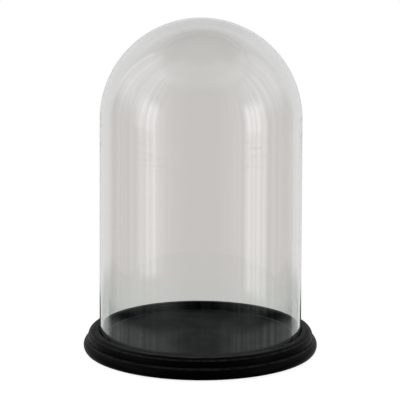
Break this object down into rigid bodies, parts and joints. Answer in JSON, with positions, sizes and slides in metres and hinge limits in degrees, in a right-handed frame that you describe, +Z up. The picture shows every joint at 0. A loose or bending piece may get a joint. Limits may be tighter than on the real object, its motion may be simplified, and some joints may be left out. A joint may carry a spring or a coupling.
{
  "type": "bell jar dome",
  "caption": "Tall clear glass dome with a hemispherical top, standing in a groove inside a turned black wooden base with a raised display floor.",
  "frame": {"origin": "on the dome's axis, at the surface that the foot pads stand on", "axes": "+Z up along the dome's axis; the base and the dome are round about it"},
  "size_m": [0.29, 0.29, 0.4193],
  "materials": {
    "clear_glass": "clear blown glass, fire-polished, with a ground foot",
    "black_lacquer": "satin black lacquer on turned wood",
    "black_satin_floor": "satin black lacquer on a flat disc",
    "black_felt": "thin black felt",
    "grey_felt": "pressed grey felt",
    "zinc_steel": "bright zinc plate"
  },
  "bodies": {
    "base": {"plinth": "black_lacquer", "rim_ring": "black_lacquer", "floor_panel": "black_satin_floor", "seat_ring": "black_felt", "rim_screws": "zinc_steel", "floor_screws": "zinc_steel", "foot_pads": "grey_felt"},
    "dome": {"glass_dome": "clear_glass"}
  },
  "joints": [
    {"name": "dome_lift", "type": "slide", "parent": "base", "child": "dome", "axis": [0, 0, 1], "range_m": [0, 0.45]}
  ]
}
